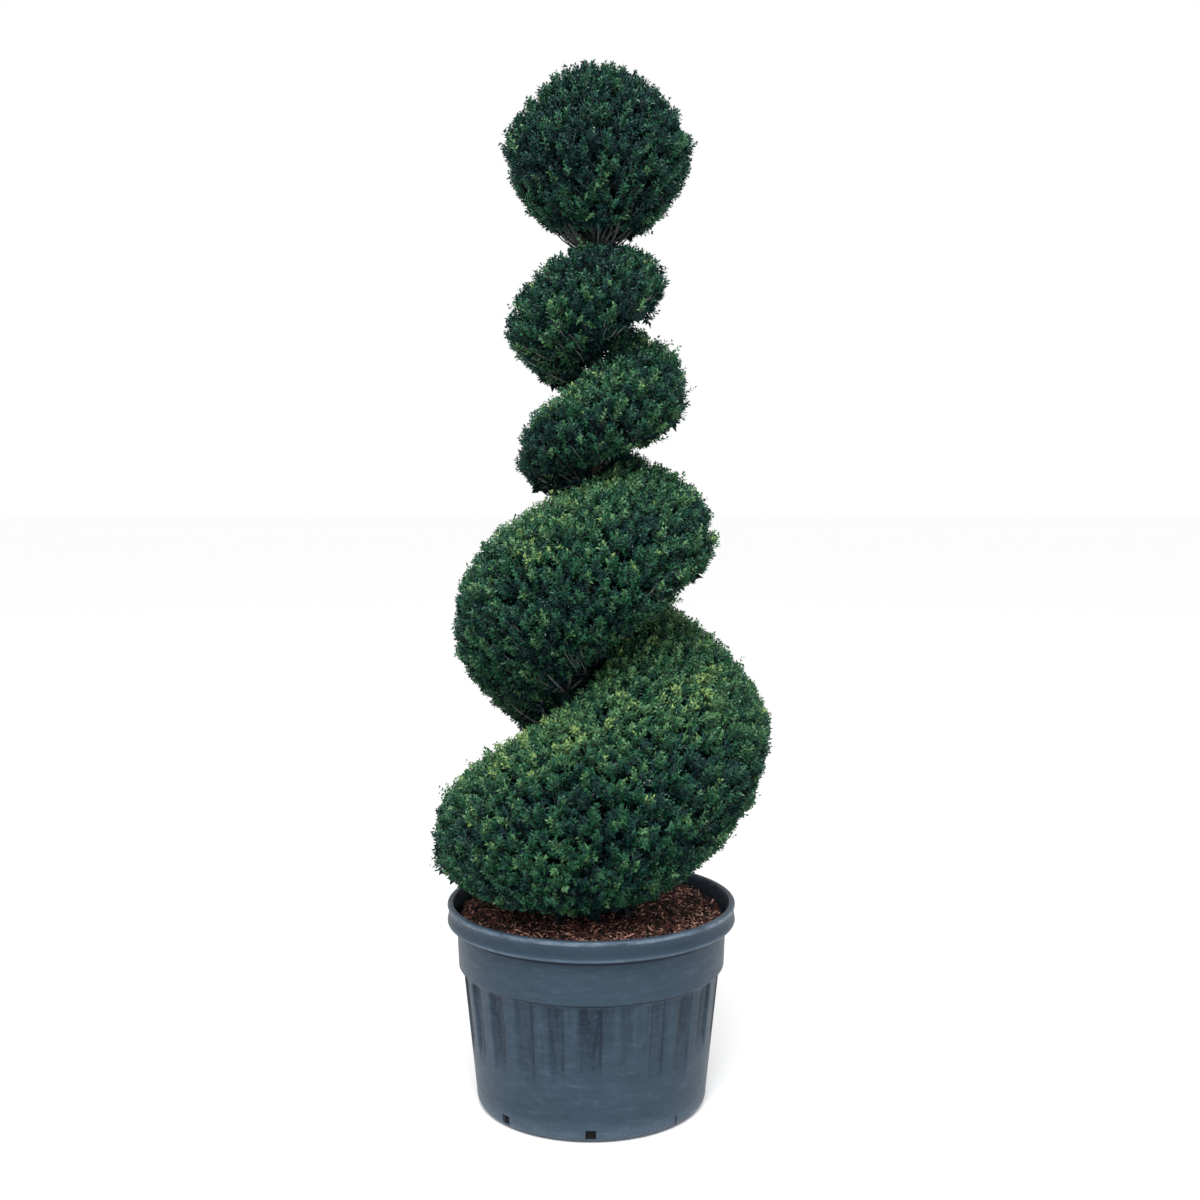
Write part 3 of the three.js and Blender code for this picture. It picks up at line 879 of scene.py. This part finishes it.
shootStarts, shootTips, shootDepth, tuftOf = aimShoots()
shootStarts, limbs = branchOut(shootStarts, shootOwners)
limbs["neckFan"] = neckFan()
limbs["underStems"] = underStems()
limbSizes = {  # radius at the foot and the tip, sides, rows, sag
    "boughs": (0.0066, 0.0036, 6, 6, 0.06),
    "neckFan": (0.0019, 0.0008, 4, 6, 0.13),
    "underStems": (0.0013, 0.0005, 3, 5, 0.08),
    "branches": (0.0032, 0.0016, 4, 4, 0.07),
    "forks": (0.0017, 0.0009, 3, 3, 0.06),
    "shootTwigs": (0.0010, 0.0003, 3, 2, 0.0),
}
limbs["shootTwigs"] = np.stack([shootStarts, shootTips], axis=1)
twigBark = Finish("twigBark", (0.085, 0.088, 0.090), 0.85, Specular_IOR_Level=0.2)
paleBark = Finish("paleBark", (0.170, 0.180, 0.185), 0.85, Specular_IOR_Level=0.2)
for name, sizes in limbSizes.items():
    points, faces = sweepLimbs(limbs[name][:, 0], limbs[name][:, 1], *sizes)
    piece = addJoined(name, points, faces, paleBark if name == "underStems" else twigBark, smooth=True)
    print(name, len(limbs[name]), "limbs,", len(faces), "triangles")

# Leaves, in opposite pairs along each shoot

leaves = {
    "pairs": 7,
    "length": 0.0082,
    "width": 0.0047,
    "firstAt": 0.26,  # share of the shoot's length with no leaves
    "spread": 0.95,  # angle from the twig, radians
    "scatter": (0.02, 0.35, 0.20),  # of the place, the turn and the lean
    "facingUp": 0.45,
    "facingScatter": 0.4,
    "unlike": 0.14,  # spread of the sizes, and their limits
    "limits": (0.6, 1.35),
    "fold": 0.16,
    "droop": 0.12,
    "widestAt": 0.42,
    "youngPairs": 2,
    "innerPairs": 8,
    "innerSize": 1.9,  # of the older leaves inside, that hold back the light and are painted near-black as shade
    "deepPairs": 30,  # on the boughs
    "deepSize": 3.2,
    "piece": 190000,  # triangles in a piece at most
}


def leafBlades(starts, ends, pairs, first, last, scale=1.0):
    # four points and two halves, folded at the midrib, for each leaf of the pairs from first to last
    count = len(starts)
    rows = np.arange(first, last)
    share = leaves["firstAt"] + (1 - leaves["firstAt"]) * rows / (pairs - 1)
    shape = (count, len(rows), 2)
    placeScatter, turnScatter, leanScatter = leaves["scatter"]
    share = share[None, :, None] + pick.normal(scale=placeScatter, size=shape)
    starts, ends = starts[:, None, None], ends[:, None, None]
    place = starts + (ends - starts) * share[..., None]
    along = np.broadcast_to(unit(ends - starts), place.shape)
    helper = np.where(np.abs(along[..., 2:3]) < 0.9, upward, np.array([1.0, 0, 0]))
    sideways = unit(np.cross(along, helper))
    across = np.cross(along, sideways)
    turn = pick.uniform(0, tau, (count, 1, 1)) + rows[None, :, None] * tau / 4
    turn = turn + np.array([0, math.pi])[None, None, :] + pick.normal(scale=turnScatter, size=shape)
    lean = leaves["spread"] * (1.15 - 0.5 * share**2) + pick.normal(scale=leanScatter, size=shape)
    outward = np.cos(turn)[..., None] * sideways + np.sin(turn)[..., None] * across
    blade = unit(np.cos(lean)[..., None] * along + np.sin(lean)[..., None] * outward)
    facing = along + leaves["facingUp"] * upward + leaves["facingScatter"] * pick.normal(size=along.shape)
    facing = unit(facing - (facing * blade).sum(axis=-1, keepdims=True) * blade)
    side = np.cross(facing, blade)
    size = scale * pick.normal(1, leaves["unlike"], shape).clip(*leaves["limits"]) * (1.08 - 0.3 * share**3)
    long = (leaves["length"] * size)[..., None]
    wide = (leaves["width"] * size)[..., None] * 0.5
    foot = place + blade * 0.0005
    lift = facing * leaves["fold"] * wide * 2
    widest = foot + blade * long * leaves["widestAt"] + lift
    tip = foot + blade * long - facing * long * leaves["droop"]
    points = np.stack([foot, widest + side * wide, tip, widest - side * wide], axis=-2).reshape(-1, 3)
    corner = np.arange(len(points) // 4)[:, None] * 4
    halves = np.stack([corner + [0, 1, 2], corner + [0, 2, 3]], axis=1).reshape(-1, 3)
    return points, halves


# one leaf green in darker and lighter copies: inner is painted shade on the leaves inside, and deep, dark,
# green and fresh are dealt out from painted shade to painted light, with random tone mixed in; young is the
# colour of new tips
leafColors = {
    "inner": (0.007, 0.022, 0.023),
    "deep": (0.007, 0.026, 0.029),
    "dark": (0.009, 0.047, 0.039),
    "green": (0.019, 0.096, 0.046),
    "fresh": (0.076, 0.190, 0.076),
    "young": (0.200, 0.315, 0.100),
}
leafShine = {"inner": 0.12, "deep": 0.16, "dark": 0.28, "green": 0.35, "fresh": 0.40, "young": 0.35}
leafFinishes = {
    kind: Finish("leaf" + kind.capitalize(), color, 0.42, Specular_IOR_Level=leafShine[kind])
    for kind, color in leafColors.items()
}


# painted light: how sunny a shoot stands picks its leaf colour, mixed with random tone
dealing = {
    "patchSize": 0.09,
    "patch": 0.15,
    "proud": 45,  # how much lighter per metre a shoot is that stands out
    "proudFrom": 0.0090,
    "fromBelow": 0.30,  # light that undersides get back from the ground
    "overPot": 0.07,  # height of the shade just over the soil
    "ball": (0.12, 1.35, 0.2),  # shade on the ball, where it starts, over what height
    "fromAbove": (1.65, 0.75),  # upper faces are lightest low down
    "lowTurns": (1.20, 0.5),
    "lowLight": 0.10,
    "tuft": 0.20,
    "scatter": 0.36,
    "steps": [-0.38, 0.20, 0.86],  # from deep to dark, green and fresh, painted shade to painted light
    "youngFrom": 0.30,
}


def dealShoots():
    # how sunny each shoot stands decides its colour, and some have young tips
    count = len(shootPoints)
    height, rise = shootPoints[:, 2], shootNormals[:, 2]
    patch = waves(shootPoints, dealing["patchSize"], 21)
    lowTop, lowSpan = dealing["lowTurns"]
    lowTurns = np.clip((lowTop - height) / lowSpan, 0, 1)
    tuftShade = pick.normal(size=len(tuftOf))[tuftOf]
    ballShade, ballFrom, ballSpan = dealing["ball"]
    shaded = np.clip(1 - (height - soilTop) / dealing["overPot"], 0, 1)
    shaded = shaded + ballShade * np.clip((height - ballFrom) / ballSpan, 0, 1)
    sun = dealing["patch"] * patch + dealing["proud"] * (shootDepth + dealing["proudFrom"])
    sun = sun - dealing["fromBelow"] * np.minimum(rise, 0) - shaded
    aboveTop, aboveSpan = dealing["fromAbove"]
    sun = sun + np.maximum(rise, 0) * np.clip((aboveTop - height) / aboveSpan, 0.12, 0.98)
    sun = sun + dealing["lowLight"] * lowTurns
    sun = sun + dealing["tuft"] * tuftShade + pick.normal(scale=dealing["scatter"], size=count)
    dealt = np.digitize(sun, dealing["steps"])
    chance = (0.1 + 1.1 * lowTurns) * np.clip(0.15 + 1.1 * rise, 0, 1)
    chance = chance * np.clip(tuftShade + patch - 1.0, 0.01, 0.8)
    young = (sun > dealing["youngFrom"]) & (pick.random(count) < chance)
    return dealt, young


def growLeaves(dealt, young):
    # batches of leaves for each kind: old ones inside, painted near-black as shade, then the shoots' own,
    # then the young tips
    batches = {kind: [] for kind in leafFinishes}
    oldWood = np.concatenate([limbs["forks"], limbs["branches"]])
    for wood, pairs, size in (
        (oldWood, leaves["innerPairs"], leaves["innerSize"]),
        (limbs["boughs"], leaves["deepPairs"], leaves["deepSize"]),
    ):
        batches["inner"].append(leafBlades(wood[:, 0], wood[:, 1], pairs, 0, pairs, size))
    pairs = leaves["pairs"]
    youngFrom = pairs - leaves["youngPairs"]
    for number, kind in enumerate(["deep", "dark", "green", "fresh"]):
        for tipped, last in ((False, pairs), (True, youngFrom)):
            chosen = (dealt == number) & (young == tipped)
            batches[kind].append(leafBlades(shootStarts[chosen], shootTips[chosen], pairs, 0, last))
    batches["young"].append(leafBlades(shootStarts[young], shootTips[young], pairs, youngFrom, pairs))
    return batches


def addLeaves(kind, batches):
    # joins a kind's batches and cuts them into pieces of whole leaves
    points = np.concatenate([batch[0] for batch in batches])
    before = np.cumsum([0] + [len(batch[0]) for batch in batches])
    halves = np.concatenate([batch[1] + start for batch, start in zip(batches, before)])
    count = len(points) // 4
    parts = math.ceil(count * 2 / leaves["piece"])
    for number, share in enumerate(np.array_split(np.arange(count), parts)):
        first, last = share[0], share[-1] + 1
        own = halves[first * 2 : last * 2] - first * 4
        name = f"leaves_{kind}_{number + 1}"
        piece = addJoined(name, points[first * 4 : last * 4], own, leafFinishes[kind])
        print(piece.name, last - first, "leaves,", len(own), "triangles")


for kind, batches in growLeaves(*dealShoots()).items():
    addLeaves(kind, batches)
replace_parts(bpy.data.objects["leaves_green_1"], *foliageNames)

# Floor, light and camera

studio = {
    "floor": 40.0,
    "floorColor": (0.98, 0.98, 0.98),
    "world": 1.0,
    "cameraAt": (0.0157, -2.6, 1.1234),
    "cameraDown": 0.0837,
    "lens": 44.04,
    "lampAt": (-0.2, -2.6, 3.7),
    "lampAim": (0, 0, 0.9),
    "lampSize": 2.4,
    "lampPower": 170,
}


def addFloor():
    bm = bmesh.new()
    bmesh.ops.create_grid(bm, x_segments=1, y_segments=1, size=studio["floor"])
    mesh = bpy.data.meshes.new("floor")
    bm.to_mesh(mesh)
    bm.free()
    floor = bpy.data.objects.new("floor", mesh)
    bpy.context.collection.objects.link(floor)
    mesh.materials.append(Finish("floorPaint", studio["floorColor"], 0.7).material)


def addLamp():
    light = bpy.data.lights.new("overhead", "AREA")
    light.shape = "DISK"
    light.size = studio["lampSize"]
    light.energy = studio["lampPower"]
    lamp = bpy.data.objects.new("overhead", light)
    lamp.location = studio["lampAt"]
    aim = Vector(studio["lampAim"]) - Vector(studio["lampAt"])
    lamp.rotation_euler = aim.to_track_quat("-Z", "Y").to_euler()
    bpy.context.collection.objects.link(lamp)


def addCamera():
    camera = bpy.data.objects.new("camera", bpy.data.cameras.new("camera"))
    camera.data.lens = studio["lens"]
    camera.data.sensor_width = 36
    camera.location = studio["cameraAt"]
    camera.rotation_euler = (math.pi / 2 - studio["cameraDown"], 0, 0)
    bpy.context.collection.objects.link(camera)
    bpy.context.scene.camera = camera


def addWorld():
    world = bpy.data.worlds.new("studio")
    world.use_nodes = True
    background = world.node_tree.nodes["Background"]
    background.inputs["Color"].default_value = (1, 1, 1, 1)
    background.inputs["Strength"].default_value = studio["world"]
    bpy.context.scene.world = world


addFloor()
addWorld()
addLamp()
addCamera()
bpy.context.scene.view_settings.view_transform = "Standard"
print("studio set")
